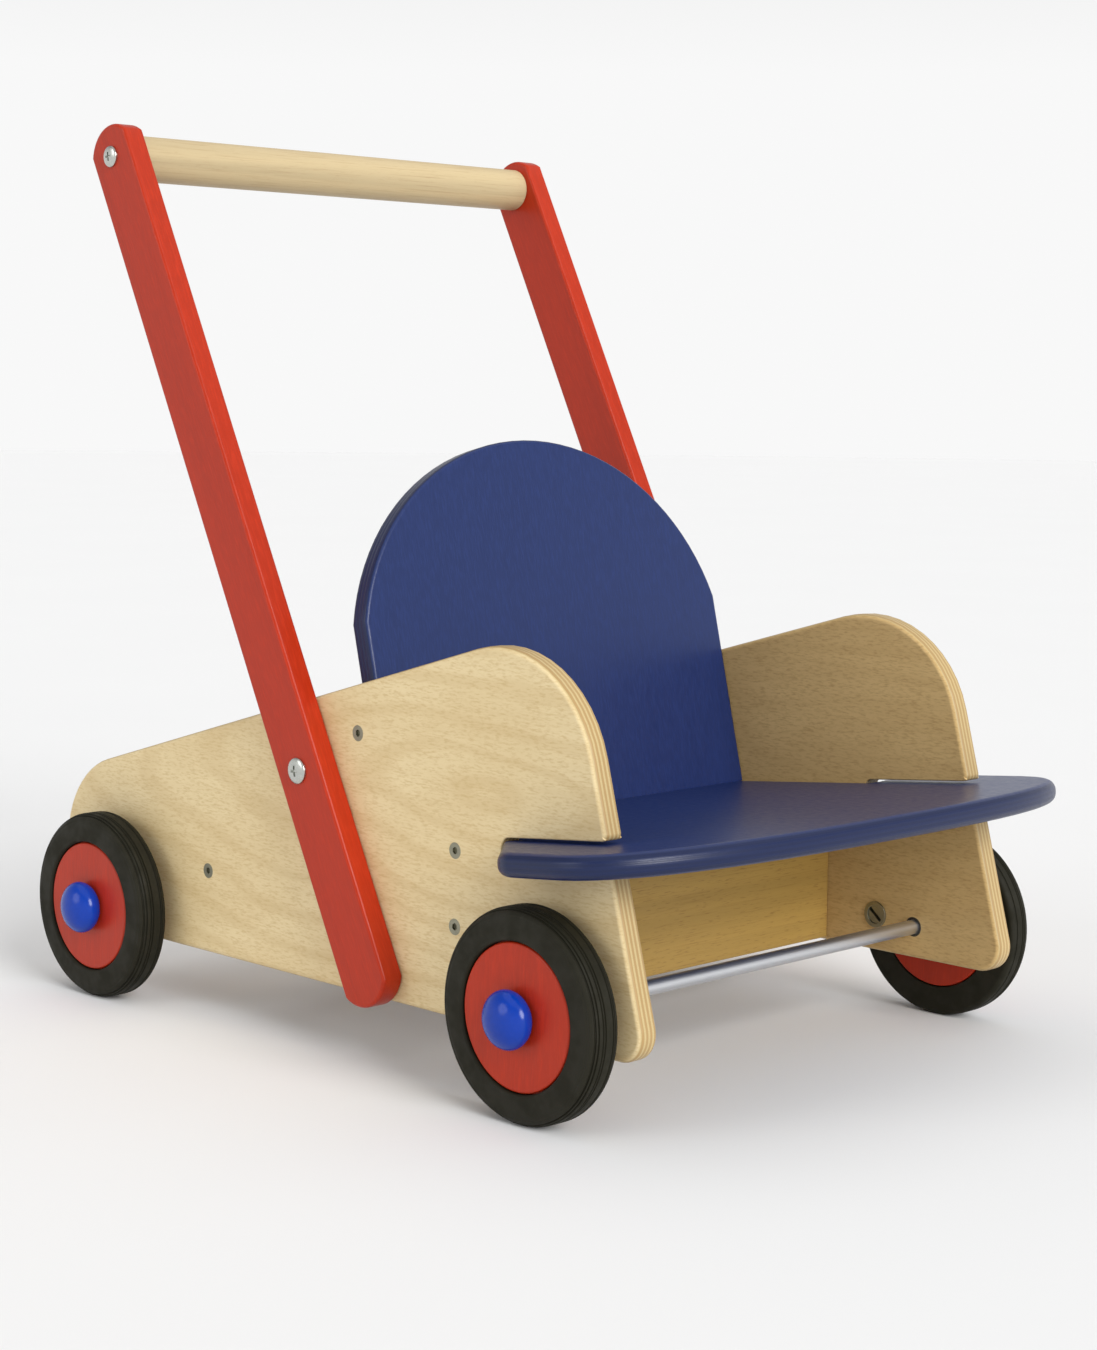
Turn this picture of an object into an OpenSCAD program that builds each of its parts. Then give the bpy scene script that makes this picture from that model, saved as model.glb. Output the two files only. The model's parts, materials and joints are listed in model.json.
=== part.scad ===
// Wooden baby walker: a four-wheeled plywood chassis with a seat, a backrest and a push bar.
// Millimetres. +X points to the front, +Y to the left, +Z up. The origin is on the floor,
// midway between the rear edge of the side panels and the front edge of the seat.

/* [Chassis] */
// Distance between the two axles
wheelbase = 350; // [330:1:370]
// Space between the two side panels
inner_width = 268; // [240:1:290]
// Thickness of the plywood panels, seat and backrest
ply = 12; // [10:0.5:15]
// Height of the panels' lower edge over the floor
panel_bottom = 35; // [30:1:40]
// How far the panels reach behind the rear axle
rear_reach = 58; // [50:1:65]
// Thickness of the two cross boards
board_t = 18; // [16:1:22]

/* [Seat] */
// Height of the seat's top at the foot of the backrest
seat_height = 120; // [115:1:125]
// Rise of the seat towards its front edge, in degrees
seat_tilt = 5.85; // [4:0.05:8]
// How far the seat's front edge lies ahead of the rear axle
seat_front = 448; // [440:1:460]
// Overall width of the seat at its ears
seat_width = 368; // [350:1:380]
// Distance from the rear axle to the foot of the backrest
backrest_x = 224.5; // [215:0.5:230]
// Backward lean of the backrest, in degrees
backrest_tilt = 13.5; // [10:0.5:18]
// Height of the backrest along its face
backrest_height = 204; // [190:1:215]

/* [Push bar] */
// Backward lean of the two arms, in degrees
arm_tilt = 26.6; // [20:0.1:30]
// Width of an arm
arm_w = 34; // [30:1:40]
// Thickness of an arm
arm_t = 13; // [12:1:16]
// Distance from the arm bolt to the middle of the push bar
arm_length = 360; // [330:1:380]
// Diameter of the push bar
bar_d = 25; // [22:1:28]

/* [Wheels] */
// Outer diameter of the tyres
tyre_d = 105; // [100:1:110]
// Width of the tyres
tyre_w = 17.5; // [16:0.5:20]
// Diameter of the wheel discs inside the tyres
disc_d = 72; // [68:1:76]
// Gap between a side panel and the wheel beside it
wheel_gap = 8; // [8:0.5:10]
// Diameter of the steel axles
axle_d = 8; // [6:1:9]
// Diameter of the domed hub caps
cap_d = 29; // [26:1:32]

/* [Brakes] */
// Distance from the front axle back to the brake
brake_back = 26.2; // [24:0.1:28]
// Gap between the brake pad and the wheel when the brake is off
brake_gap = 1; // [0.8:0.1:1.5]

/* [Hidden] */

$fn = 64;
eps = 0.5;

// Colours
birch = [0.87, 0.79, 0.62];
beech = [0.76, 0.60, 0.42];
red = [0.66, 0.20, 0.14];
blue = [0.15, 0.22, 0.50];
cap_blue = [0.10, 0.28, 0.75];
rubber = [0.17, 0.17, 0.14];
steel = [0.74, 0.75, 0.76];
nylon = [0.22, 0.20, 0.18];
felt = [0.45, 0.43, 0.40];

// Origin and the main planes
origin_x = (seat_front - rear_reach) / 2;
axle_z = tyre_d / 2;
inner_y = inner_width / 2;
outer_y = inner_y + ply;
arm_y = outer_y + arm_t;
wheel_y = outer_y + wheel_gap;
tyre_y = wheel_y + tyre_w;
disc_w = tyre_w - 1;
disc_y = wheel_y + disc_w;

// Panel outline: the sloping top edge and the sloping front edge
top_height = 137.3;
top_slope = 0.284;
front_x = 412;
front_lean = 0.267;
lobe_r = 65;
rear_top_r = 55;
rear_bottom_r = 18;
front_bottom_r = 14;
slot_x = 313.5;
slot_gap = 1.5;
slot_r = 5;
slot_step_r = 2.5;
slot_mouth_x = 385;
slot_lip_r = 3;

// Seat and backrest
seat_rear = backrest_x - 20;
seat_reach = seat_front - ply * sin(seat_tilt);
ear_x = slot_x + slot_step_r;
ear_r = 16;
ear_widest = 380;
seat_squareness = 2.6;
arch_spread = 4;
arch_a = inner_y + arch_spread;
arch_foot = 80;

// Cross boards
front_board_x = 280.5;
front_board_z = panel_bottom + 2;
rear_board_x = 79.5;
rear_board_z = 46;
rear_board_h = 70;
dowel_r = 4;
dowel_in_board = 22;
dowel_in_panel = 8;
cross_dowel_at = [
    [front_board_x, 56],
    [front_board_x, 101],
    [rear_board_x, 59],
    [rear_board_x, 103]
];

// Wood screws: a countersunk head and a plain shank
screw_r = 2;
screw_head_r = 4.2;
screw_head_h = 2.6;
screw_l = 42;
screw_recess_r = 1.9;
screw_recess_h = 1.6;
foot_screw_x = -7;
foot_screw_y = 80;
foot_screw_l = 36;
panel_screw_at = [
    [206.5, 170.5],
    [front_board_x, seat_top(front_board_x) - ply / 2],
    [front_board_x, 81.5],
    [rear_board_x, 81]
];

// Push bar and its fasteners
arm_bolt_x = 174;
arm_bolt_z = 148.7;
arm_below = 128;
arm_above = 17.5;
arm_end_r = 20;
bolt_r = 3;
bolt_head_r = 6.8;
bolt_head_h = 2.6;
tee_barrel_r = 4;
tee_barrel_l = 9;
tee_flange_r = 9.5;
tee_flange_t = 1.4;
bar_screw_r = 2.5;
bar_screw_head_r = 5.8;
bar_screw_head_h = 2.4;
bar_screw_l = 50;
arm_dowel_at = -82;

// Axles, bushes and wheels
axle_r = axle_d / 2;
bush_r = axle_r + 1.5;
bush_flange_r = bush_r + 2.5;
bush_flange_t = 1.2;
bush_bore_r = axle_r + 0.06;
wheel_bore_r = axle_r + 0.08;
side_play = 0.2;
spacer_r = axle_r + 3;
disc_r = disc_d / 2;
tongue_r = disc_r + 3;
tongue_at = 4.5;
tyre_bore_r = disc_r + 0.6;
outer_shoulder_r = 6.5;
inner_shoulder_r = 3;
groove_w = 1;
groove_h = 0.9;
groove_at = [3.5, 10, 14.2];
cap_r = cap_d / 2;
cap_half_h = 9;
cap_middle = 5.4;
cap_bore = 9;

// Brakes: a threaded insert, a slotted screw and a pad on each front wheel
brake_x = wheelbase - brake_back;
brake_z = axle_z + 3;
brake_bore_r = 5;
brake_screw_r = brake_bore_r - 0.05;
brake_screw_l = 9;
brake_proud = 0.3;
brake_slot_w = 2;
brake_slot_h = 2.2;
brake_slot_turn = 40;
pad_clearance = 0.05;
insert_r = 6.2;
insert_flange_r = 7.4;
insert_flange_t = 1;
pad_r = 6.5;
pad_t = 4;
pad_y = wheel_y - brake_gap;

// Height of the seat's top face over a distance x ahead of the rear axle
function seat_top(x) = seat_height + (x - backrest_x) * tan(seat_tilt);

// Height of the seat's lower face
function seat_under(x) = seat_top(x) - ply / cos(seat_tilt);

// Unit vector along v
function unit(v) = v / norm(v);

// Signed area of the corner that two vectors span
function turn_sense(s, e) = sign(s[0] * e[1] - s[1] * e[0]);

// One corner of an outline at b, rounded by radius b[2] between its neighbours a and c
function rounded_corner(a, b, c, steps = 12) =
    let (
        tip = [b[0], b[1]],
        u = unit([a[0], a[1]] - tip),
        v = unit([c[0], c[1]] - tip),
        half = acos(u * v) / 2,
        mid = tip + unit(u + v) * b[2] / sin(half),
        start = tip + u * b[2] / tan(half) - mid,
        end = tip + v * b[2] / tan(half) - mid,
        turn = turn_sense(start, end) * (180 - 2 * half) / steps
    )
    [for (k = [0 : steps])
        mid + [
            start[0] * cos(k * turn) - start[1] * sin(k * turn),
            start[0] * sin(k * turn) + start[1] * cos(k * turn)
        ]];

// Outline through corners [x, y, radius]; radius 0 leaves a sharp corner
function rounded(p) =
    let (n = len(p))
    [for (i = [0 : n - 1])
        each (p[i][2] == 0
            ? [[p[i][0], p[i][1]]]
            : rounded_corner(p[(i + n - 1) % n], p[i], p[(i + 1) % n]))];

// Moves children from the rear axle's origin to the part's origin
module placed() {
    translate([-origin_x, 0, 0])
        children();
}

// Mirrors a right-hand piece to the left
module left_of() {
    mirror([0, 1, 0])
        children();
}

// Draws children on both sides
module both_sides() {
    children();
    left_of()
        children();
}

// Extrudes an outline in x and z from y = -near out to y = -(near + depth)
module plate(near, depth) {
    translate([0, -near, 0])
        rotate([90, 0, 0])
            linear_extrude(depth)
                children();
}

// A cylinder along -Y that starts at y = -near
module rod(x, z, near, r, depth, r2 = 0) {
    translate([x, -near, z])
        rotate([90, 0, 0])
            cylinder(h = depth, r1 = r, r2 = r2 == 0 ? r : r2);
}

// A profile of [radius, distance] revolved about Y, with distance 0 at y = -near
module revolved(x, z, near) {
    translate([x, -near, z])
        rotate([90, 0, 0])
            rotate_extrude()
                children();
}

// ---- Side panels ----

function front_edge(z) = front_x - (z - panel_bottom) * front_lean;
function top_edge(x) = top_height + x * top_slope;
function slot_roof(x) = seat_top(x) + slot_gap;

// Where the top edge's line meets the front edge's line
lobe_x = (front_x + (panel_bottom - top_height) * front_lean) / (1 + top_slope * front_lean);

// Outline of a side panel: open at the front for the seat's ears
function panel_outline() = rounded([
    [-rear_reach, panel_bottom, rear_bottom_r],
    [front_x, panel_bottom, front_bottom_r],
    [front_edge(seat_under(slot_mouth_x)), seat_under(slot_mouth_x), slot_lip_r],
    [slot_x, seat_under(slot_x), slot_step_r],
    [slot_x, slot_roof(slot_x), slot_r],
    [front_edge(slot_roof(slot_mouth_x)), slot_roof(slot_mouth_x), slot_lip_r],
    [lobe_x, top_edge(lobe_x), lobe_r],
    [-rear_reach, top_edge(-rear_reach), rear_top_r]
]);

module side_panel() {
    color(birch)
        difference() {
            plate(inner_y, ply)
                polygon(panel_outline());
            for (p = panel_screw_at) {
                rod(p[0], p[1], inner_y - eps, screw_r + 0.1, ply + 2 * eps);
                rod(p[0], p[1], outer_y - screw_head_h, screw_r, screw_head_h, screw_head_r);
            }
            for (x = [0, wheelbase])
                rod(x, axle_z, inner_y - eps, bush_r, ply + 2 * eps);
            rod(arm_bolt_x, arm_bolt_z, inner_y - eps, tee_barrel_r, ply + 2 * eps);
            along_arm(arm_dowel_at)
                rod(0, 0, outer_y - dowel_in_panel, dowel_r, dowel_in_panel + eps);
            rod(brake_x, brake_z, inner_y - eps, insert_r, ply + 2 * eps);
            for (p = cross_dowel_at)
                rod(p[0], p[1], inner_y - eps, dowel_r, dowel_in_panel + eps);
        }
}

module side_panel_right() {
    placed()
        side_panel();
}

module side_panel_left() {
    placed()
        left_of()
            side_panel();
}

// ---- Seat and backrest ----

// Stands children on the seat's top plane: x along the slope from the backrest's foot
module on_seat() {
    translate([backrest_x, 0, seat_height])
        rotate([0, -seat_tilt, 0])
            children();
}

// Distance along the slope for a distance ahead of the rear axle
function along_seat(x) = (x - backrest_x) / cos(seat_tilt);

// Front edge of the seat: a quarter of a superellipse from the ear to the middle
function seat_front_curve() =
    [for (k = [0 : 24])
        let (a = 90 * k / 24)
        [
            along_seat(ear_widest + (seat_reach - ear_widest) * pow(sin(a), 2 / seat_squareness)),
            seat_width / 2 * pow(cos(a), 2 / seat_squareness),
            0
        ]];

// Plan of the seat's left half: narrow between the panels, then wide at the ears
function seat_half() = concat(
    [
        [along_seat(seat_rear), inner_y, 2],
        [along_seat(ear_x), inner_y, 0],
        [along_seat(ear_x), outer_y + 2, 3],
        [along_seat(ear_x + seat_width / 2 - outer_y - 4), seat_width / 2, ear_r]
    ],
    seat_front_curve()
);

// The other half, in reverse order and without the shared middle point
function other_half(p) = [for (i = [len(p) - 2 : -1 : 0]) [p[i][0], -p[i][1], p[i][2]]];

module seat_board() {
    color(blue)
        placed()
            difference() {
                on_seat()
                    translate([0, 0, -ply])
                        linear_extrude(ply)
                            polygon(rounded(concat(seat_half(), other_half(seat_half()))));
                both_sides()
                    rod(
                        panel_screw_at[1][0], panel_screw_at[1][1],
                        outer_y - screw_l, screw_r, screw_l - ply
                    );
                foot_screws(screw_r + 0.1, screw_head_r);
            }
}

// Face of the backrest: straight sides below an elliptical arch
function backrest_outline() =
    let (
        first = acos(inner_y / arch_a),
        last = 180 - first
    )
    concat(
        [[-inner_y, -ply], [inner_y, -ply]],
        [for (k = [0 : 40])
            let (a = first + (last - first) * k / 40)
            [arch_a * cos(a), arch_foot + (backrest_height - arch_foot) * sin(a)]]
    );

// Leans children back at the backrest's foot: x is the face's normal and z runs up it
module on_backrest() {
    translate([backrest_x, 0, seat_height])
        rotate([0, -backrest_tilt, 0])
            children();
}

module backrest() {
    color(blue)
        placed()
            difference() {
                on_backrest()
                    translate([-ply, 0, 0])
                        rotate([90, 0, 90])
                            linear_extrude(ply)
                                polygon(backrest_outline());
                on_seat()
                    translate([-2 * ply, -inner_y - eps, -2 * ply])
                        cube([4 * ply, inner_width + 2 * eps, 2 * ply]);
                both_sides()
                    rod(
                        panel_screw_at[0][0], panel_screw_at[0][1],
                        outer_y - screw_l, screw_r, screw_l - ply
                    );
                foot_screws(screw_r, 0);
            }
}

// The hidden screws that come up through the seat into the backrest's foot
module foot_screws(r, head_r) {
    for (y = [-foot_screw_y, foot_screw_y])
        on_seat()
            translate([foot_screw_x, y, -ply]) {
                cylinder(h = foot_screw_l, r = r);
                if (head_r > 0)
                    cylinder(h = screw_head_h, r1 = head_r, r2 = r);
            }
}

module backrest_foot_screws() {
    color(steel)
        placed()
            difference() {
                foot_screws(screw_r, screw_head_r);
                for (y = [-foot_screw_y, foot_screw_y])
                    on_seat()
                        translate([foot_screw_x, y, -ply - eps])
                            cylinder(h = screw_recess_h + eps, r = screw_recess_r, $fn = 6);
            }
}

// ---- Cross boards ----

// A board across the chassis, with screw and dowel holes in both ends
module cross_board(x, bottom, height, screw_z, dowel_z) {
    difference() {
        translate([x - board_t / 2, -inner_y, bottom])
            cube([board_t, inner_width, height]);
        both_sides() {
            rod(x, screw_z, outer_y - screw_l, screw_r, screw_l - ply);
            for (z = dowel_z)
                rod(x, z, inner_y - dowel_in_board, dowel_r, dowel_in_board + eps);
        }
    }
}

module front_cross_board() {
    color(beech)
        placed()
            difference() {
                cross_board(
                    front_board_x, front_board_z, seat_height, panel_screw_at[2][1],
                    [cross_dowel_at[0][1], cross_dowel_at[1][1]]
                );
                on_seat()
                    translate([0, -inner_y - eps, -ply])
                        cube([seat_front / 2, inner_width + 2 * eps, seat_height]);
            }
}

module rear_cross_board() {
    color(beech)
        placed()
            cross_board(
                rear_board_x, rear_board_z, rear_board_h, panel_screw_at[3][1],
                [cross_dowel_at[2][1], cross_dowel_at[3][1]]
            );
}

module cross_board_dowels() {
    color(beech)
        placed()
            both_sides()
                for (p = cross_dowel_at)
                    rod(p[0], p[1], inner_y - dowel_in_board, dowel_r, dowel_in_board + dowel_in_panel);
}

// ---- Screws through the panels ----

module panel_screw(x, z) {
    difference() {
        union() {
            rod(x, z, outer_y - screw_l, screw_r, screw_l - screw_head_h + eps);
            rod(x, z, outer_y - screw_head_h, screw_r, screw_head_h, screw_head_r);
        }
        translate([x, -outer_y + screw_recess_h, z])
            rotate([90, 30, 0])
                cylinder(h = screw_recess_h + eps, r = screw_recess_r, $fn = 6);
    }
}

module panel_screws() {
    color(steel)
        placed()
            both_sides()
                for (p = panel_screw_at)
                    panel_screw(p[0], p[1]);
}

// ---- Push bar ----

// Moves children up the arm by w from the arm bolt, turned with the arm
module along_arm(w) {
    translate([arm_bolt_x, 0, arm_bolt_z])
        rotate([0, -arm_tilt, 0])
            translate([0, 0, w])
                children();
}

// Half of an arm's end: an arc flatter than a half circle
function arm_end(at, way) =
    let (reach = asin(arm_w / 2 / arm_end_r))
    [for (k = [-10 : 10])
        [
            -way * arm_end_r * sin(k * reach / 10),
            at + way * (arm_end_r * cos(k * reach / 10) - arm_end_r)
        ]];

module handle_arm() {
    color(red)
        difference() {
            along_arm(0)
                plate(outer_y, arm_t)
                    polygon(concat(
                        arm_end(arm_length + arm_above, 1),
                        arm_end(-arm_below, -1)
                    ));
            rod(arm_bolt_x, arm_bolt_z, outer_y - eps, bolt_r + 0.1, arm_t + 2 * eps);
            along_arm(arm_length)
                rod(0, 0, outer_y - eps, bar_screw_r + 0.1, arm_t + 2 * eps);
            along_arm(arm_dowel_at)
                rod(0, 0, outer_y - eps, dowel_r, dowel_in_panel + eps);
        }
}

module handle_arm_right() {
    placed()
        handle_arm();
}

module handle_arm_left() {
    placed()
        left_of()
            handle_arm();
}

module handle_bar() {
    color(beech)
        placed()
            along_arm(arm_length)
                difference() {
                    rod(0, 0, -outer_y, bar_d / 2, 2 * outer_y);
                    both_sides()
                        rod(0, 0, arm_y - bar_screw_l, bar_screw_r, bar_screw_l);
                }
}

// A pan head: a flat rim under a shallow dome, cut by a cross recess
module pan_head(r, h, near) {
    rim = 0.35 * h;
    arm = [0.84 * r, 0.2 * r];
    difference() {
        revolved(0, 0, near)
            polygon(concat(
                [[0, 0], [r, 0]],
                [for (a = [0 : 7.5 : 90]) [r * cos(a), rim + (h - rim) * sin(a)]]
            ));
        for (a = [20, 110])
            translate([0, -near - h / 2, 0])
                rotate([90, a, 0])
                    translate([-arm[0] / 2, -arm[1] / 2, 0])
                        cube([arm[0], arm[1], h]);
    }
}

module handle_end_screws() {
    color(steel)
        placed()
            both_sides()
                along_arm(arm_length) {
                    rod(0, 0, arm_y - bar_screw_l, bar_screw_r, bar_screw_l);
                    pan_head(bar_screw_head_r, bar_screw_head_h, arm_y);
                }
}

module arm_bolts() {
    color(steel)
        placed()
            both_sides()
                along_arm(0) {
                    rod(0, 0, inner_y + 1, bolt_r, ply + arm_t - 1);
                    pan_head(bolt_head_r, bolt_head_h, arm_y);
                }
}

module arm_tee_nuts() {
    color(steel)
        placed()
            both_sides()
                difference() {
                    union() {
                        rod(arm_bolt_x, arm_bolt_z, inner_y, tee_barrel_r, tee_barrel_l);
                        rod(arm_bolt_x, arm_bolt_z, inner_y - tee_flange_t, tee_flange_r, tee_flange_t);
                    }
                    rod(arm_bolt_x, arm_bolt_z, inner_y - 2, bolt_r, tee_barrel_l + 3);
                }
}

module arm_dowels() {
    color(beech)
        placed()
            both_sides()
                along_arm(arm_dowel_at)
                    rod(0, 0, outer_y - dowel_in_panel, dowel_r, 2 * dowel_in_panel);
}

// ---- Axles ----

// A flanged bush pressed into a side panel
module axle_bush(x) {
    difference() {
        union() {
            rod(x, axle_z, inner_y, bush_r, ply);
            rod(x, axle_z, outer_y, bush_flange_r, bush_flange_t);
        }
        rod(x, axle_z, inner_y - eps, bush_bore_r, ply + bush_flange_t + 2 * eps);
    }
}

module axle_bushes() {
    color(nylon)
        placed()
            both_sides()
                for (x = [0, wheelbase])
                    axle_bush(x);
}

module axle(x) {
    color(steel)
        placed()
            rod(x, axle_z, -disc_y - side_play - cap_bore, axle_r, 2 * (disc_y + side_play + cap_bore));
}

module front_axle() {
    axle(wheelbase);
}

module rear_axle() {
    axle(0);
}

// Sleeves on the axle that hold the wheels off the panels
module axle_spacers(x) {
    color(nylon)
        placed()
            both_sides()
                difference() {
                    rod(
                        x, axle_z, outer_y + bush_flange_t + side_play, spacer_r,
                        wheel_gap - bush_flange_t - 2 * side_play
                    );
                    rod(x, axle_z, outer_y, axle_r, wheel_gap);
                }
}

module front_axle_spacers() {
    axle_spacers(wheelbase);
}

module rear_axle_spacers() {
    axle_spacers(0);
}

// A flattened ball pushed on the end of an axle, with its inner side cut flat
module hub_cap(x) {
    low = asin(-cap_middle / cap_half_h);
    color(cap_blue)
        difference() {
            revolved(x, axle_z, disc_y + side_play)
                polygon(concat(
                    [[0, 0]],
                    [for (k = [0 : 16])
                        let (a = low + (90 - low) * k / 16)
                        [cap_r * cos(a), cap_middle + cap_half_h * sin(a)]]
                ));
            rod(x, axle_z, disc_y, axle_r, side_play + cap_bore);
        }
}

module hub_cap_front_right() {
    placed()
        hub_cap(wheelbase);
}

module hub_cap_front_left() {
    placed()
        left_of()
            hub_cap(wheelbase);
}

module hub_cap_rear_right() {
    placed()
        hub_cap(0);
}

module hub_cap_rear_left() {
    placed()
        left_of()
            hub_cap(0);
}

// ---- Wheels ----

// A turned disc with a tongue round its rim that holds the tyre
module wheel_disc(x) {
    color(red)
        revolved(x, axle_z, wheel_y)
            polygon([
                [wheel_bore_r, 0],
                [disc_r, 0],
                [disc_r, tongue_at],
                [tongue_r, tongue_at],
                [tongue_r, tyre_w - tongue_at],
                [disc_r, tyre_w - tongue_at],
                [disc_r, disc_w],
                [wheel_bore_r, disc_w]
            ]);
}

// Radius of the tread at a distance w from the tyre's inner face
function tread_r(w) =
    let (past = max(0, w - (tyre_w - outer_shoulder_r)))
    axle_z - outer_shoulder_r + sqrt(pow(outer_shoulder_r, 2) - pow(past, 2));

// A tyre with a groove inside for the tongue and three grooves round its tread
module tyre(x) {
    color(rubber)
        difference() {
            revolved(x, axle_z, wheel_y)
                polygon(rounded([
                    [tyre_bore_r, 0, 0],
                    [axle_z, 0, inner_shoulder_r],
                    [axle_z, tyre_w, outer_shoulder_r],
                    [tyre_bore_r, tyre_w, 0],
                    [tyre_bore_r, tyre_w - tongue_at, 0],
                    [tongue_r, tyre_w - tongue_at, 0],
                    [tongue_r, tongue_at, 0],
                    [tyre_bore_r, tongue_at, 0]
                ]));
            for (w = groove_at)
                revolved(x, axle_z, wheel_y + w - groove_w / 2)
                    polygon([
                        [tread_r(w) - groove_h, 0],
                        [axle_z + eps, 0],
                        [axle_z + eps, groove_w],
                        [tread_r(w) - groove_h, groove_w]
                    ]);
        }
}

module wheel_disc_front_right() {
    placed()
        wheel_disc(wheelbase);
}

module wheel_disc_front_left() {
    placed()
        left_of()
            wheel_disc(wheelbase);
}

module wheel_disc_rear_right() {
    placed()
        wheel_disc(0);
}

module wheel_disc_rear_left() {
    placed()
        left_of()
            wheel_disc(0);
}

module tyre_front_right() {
    placed()
        tyre(wheelbase);
}

module tyre_front_left() {
    placed()
        left_of()
            tyre(wheelbase);
}

module tyre_rear_right() {
    placed()
        tyre(0);
}

module tyre_rear_left() {
    placed()
        left_of()
            tyre(0);
}

// ---- Brakes ----

module brake_inserts() {
    color(steel)
        placed()
            both_sides()
                difference() {
                    union() {
                        rod(brake_x, brake_z, inner_y, insert_r, ply);
                        rod(brake_x, brake_z, inner_y - insert_flange_t, insert_flange_r, insert_flange_t);
                    }
                    rod(brake_x, brake_z, inner_y - 2, brake_bore_r, ply + 4);
                }
}

// A slotted grub screw: turning it pushes the pad towards the wheel
module brake_screw() {
    color(steel)
        difference() {
            rod(brake_x, brake_z, inner_y - brake_proud, brake_screw_r, brake_screw_l);
            translate([brake_x, brake_proud - inner_y, brake_z])
                rotate([0, brake_slot_turn, 0])
                    translate([-insert_r, -brake_slot_h, -brake_slot_w / 2])
                        cube([2 * insert_r, brake_slot_h + eps, brake_slot_w]);
        }
}

module brake_screw_right() {
    placed()
        brake_screw();
}

module brake_screw_left() {
    placed()
        left_of()
            brake_screw();
}

// A stem in the insert's bore with a wider pad that rubs on the wheel disc
module brake_pad() {
    stem_at = inner_y - brake_proud + brake_screw_l + pad_clearance;
    color(felt) {
        rod(brake_x, brake_z, stem_at, brake_screw_r, pad_y - pad_t - stem_at + eps);
        rod(brake_x, brake_z, pad_y - pad_t, pad_r, pad_t);
    }
}

module brake_pad_right() {
    placed()
        brake_pad();
}

module brake_pad_left() {
    placed()
        left_of()
            brake_pad();
}

side_panel_right();
side_panel_left();
seat_board();
backrest();
front_cross_board();
rear_cross_board();
cross_board_dowels();
panel_screws();
backrest_foot_screws();
handle_arm_right();
handle_arm_left();
handle_bar();
handle_end_screws();
arm_bolts();
arm_tee_nuts();
arm_dowels();
axle_bushes();
front_axle();
front_axle_spacers();
hub_cap_front_right();
hub_cap_front_left();
rear_axle();
rear_axle_spacers();
hub_cap_rear_right();
hub_cap_rear_left();
wheel_disc_front_right();
wheel_disc_front_left();
wheel_disc_rear_right();
wheel_disc_rear_left();
tyre_front_right();
tyre_front_left();
tyre_rear_right();
tyre_rear_left();
brake_inserts();
brake_pad_right();
brake_pad_left();
brake_screw_right();
brake_screw_left();
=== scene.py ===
import json
import math

import bmesh
import bpy
from mathutils import Matrix, Vector
from mathutils.geometry import tessellate_polygon

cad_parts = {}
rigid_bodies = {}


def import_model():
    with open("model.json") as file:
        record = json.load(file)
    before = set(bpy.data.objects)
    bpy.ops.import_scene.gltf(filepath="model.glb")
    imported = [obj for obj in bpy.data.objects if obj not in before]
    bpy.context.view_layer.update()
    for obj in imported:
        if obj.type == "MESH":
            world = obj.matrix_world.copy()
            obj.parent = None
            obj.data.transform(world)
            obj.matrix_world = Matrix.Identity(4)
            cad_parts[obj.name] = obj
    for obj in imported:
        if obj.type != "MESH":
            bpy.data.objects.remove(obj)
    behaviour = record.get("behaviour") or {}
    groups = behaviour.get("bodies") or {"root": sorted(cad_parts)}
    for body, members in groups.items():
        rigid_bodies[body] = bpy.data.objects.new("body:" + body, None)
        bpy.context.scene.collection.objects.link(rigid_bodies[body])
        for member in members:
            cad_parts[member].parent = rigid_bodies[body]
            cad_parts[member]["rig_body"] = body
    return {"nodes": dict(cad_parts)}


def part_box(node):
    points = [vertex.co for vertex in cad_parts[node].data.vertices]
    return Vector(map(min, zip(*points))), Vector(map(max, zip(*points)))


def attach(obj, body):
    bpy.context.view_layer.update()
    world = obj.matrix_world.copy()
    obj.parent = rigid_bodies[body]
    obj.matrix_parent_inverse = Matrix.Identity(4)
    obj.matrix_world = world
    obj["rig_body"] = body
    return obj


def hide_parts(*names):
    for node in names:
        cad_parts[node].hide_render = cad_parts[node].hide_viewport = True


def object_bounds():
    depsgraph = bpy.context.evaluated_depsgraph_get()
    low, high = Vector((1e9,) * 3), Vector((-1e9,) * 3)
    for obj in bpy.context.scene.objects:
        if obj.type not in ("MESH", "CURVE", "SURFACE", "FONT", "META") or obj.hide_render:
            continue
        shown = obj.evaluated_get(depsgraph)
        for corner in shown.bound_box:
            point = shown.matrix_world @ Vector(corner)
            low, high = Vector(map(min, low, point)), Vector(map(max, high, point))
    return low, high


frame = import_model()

cad_low, cad_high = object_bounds()

# Looks of a wooden baby walker. Every shown piece is rebuilt round the CAD node it stands for, in metres.
MM = 0.001
X = Vector((1, 0, 0))
Y = Vector((0, 1, 0))
Z = Vector((0, 0, 1))
WELD = 0.02 * MM
OUTWARD = {"right": -Y, "left": Y}
NODES = frame["nodes"]

# Edges between faces: up to the first angle they count as flat, and beyond the second they are eased
FLAT_EDGE = math.radians(1)
SHARP_EDGE = math.radians(30)

# Degrees that one step of an arc turns
ARC_STEP = 15

# Rounding of the wooden edges
PANEL_EDGE = 2.7 * MM
SEAT_EDGE = 5.2 * MM
BACKREST_EDGE = 2.2 * MM
ARM_EDGE = 1.9 * MM
SLOT_EDGE = 0.8 * MM
BOARD_EDGE = 1.2 * MM
BAR_EDGE = 0.8 * MM
EDGE_STEPS = 6
LONGEST_SIDE = 8 * MM
ROOM_IN_CORNER = 0.9

# Easing of the other edges
EASE_STEPS = 3
SMALL_SCREW_EASE = 0.12 * MM
FASTENER_EASE = 0.2 * MM
BUSH_EASE = 0.3 * MM
SPACER_EASE = 0.4 * MM
PAD_EASE = 0.5 * MM
AXLE_CHAMFER = 0.5 * MM

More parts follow.
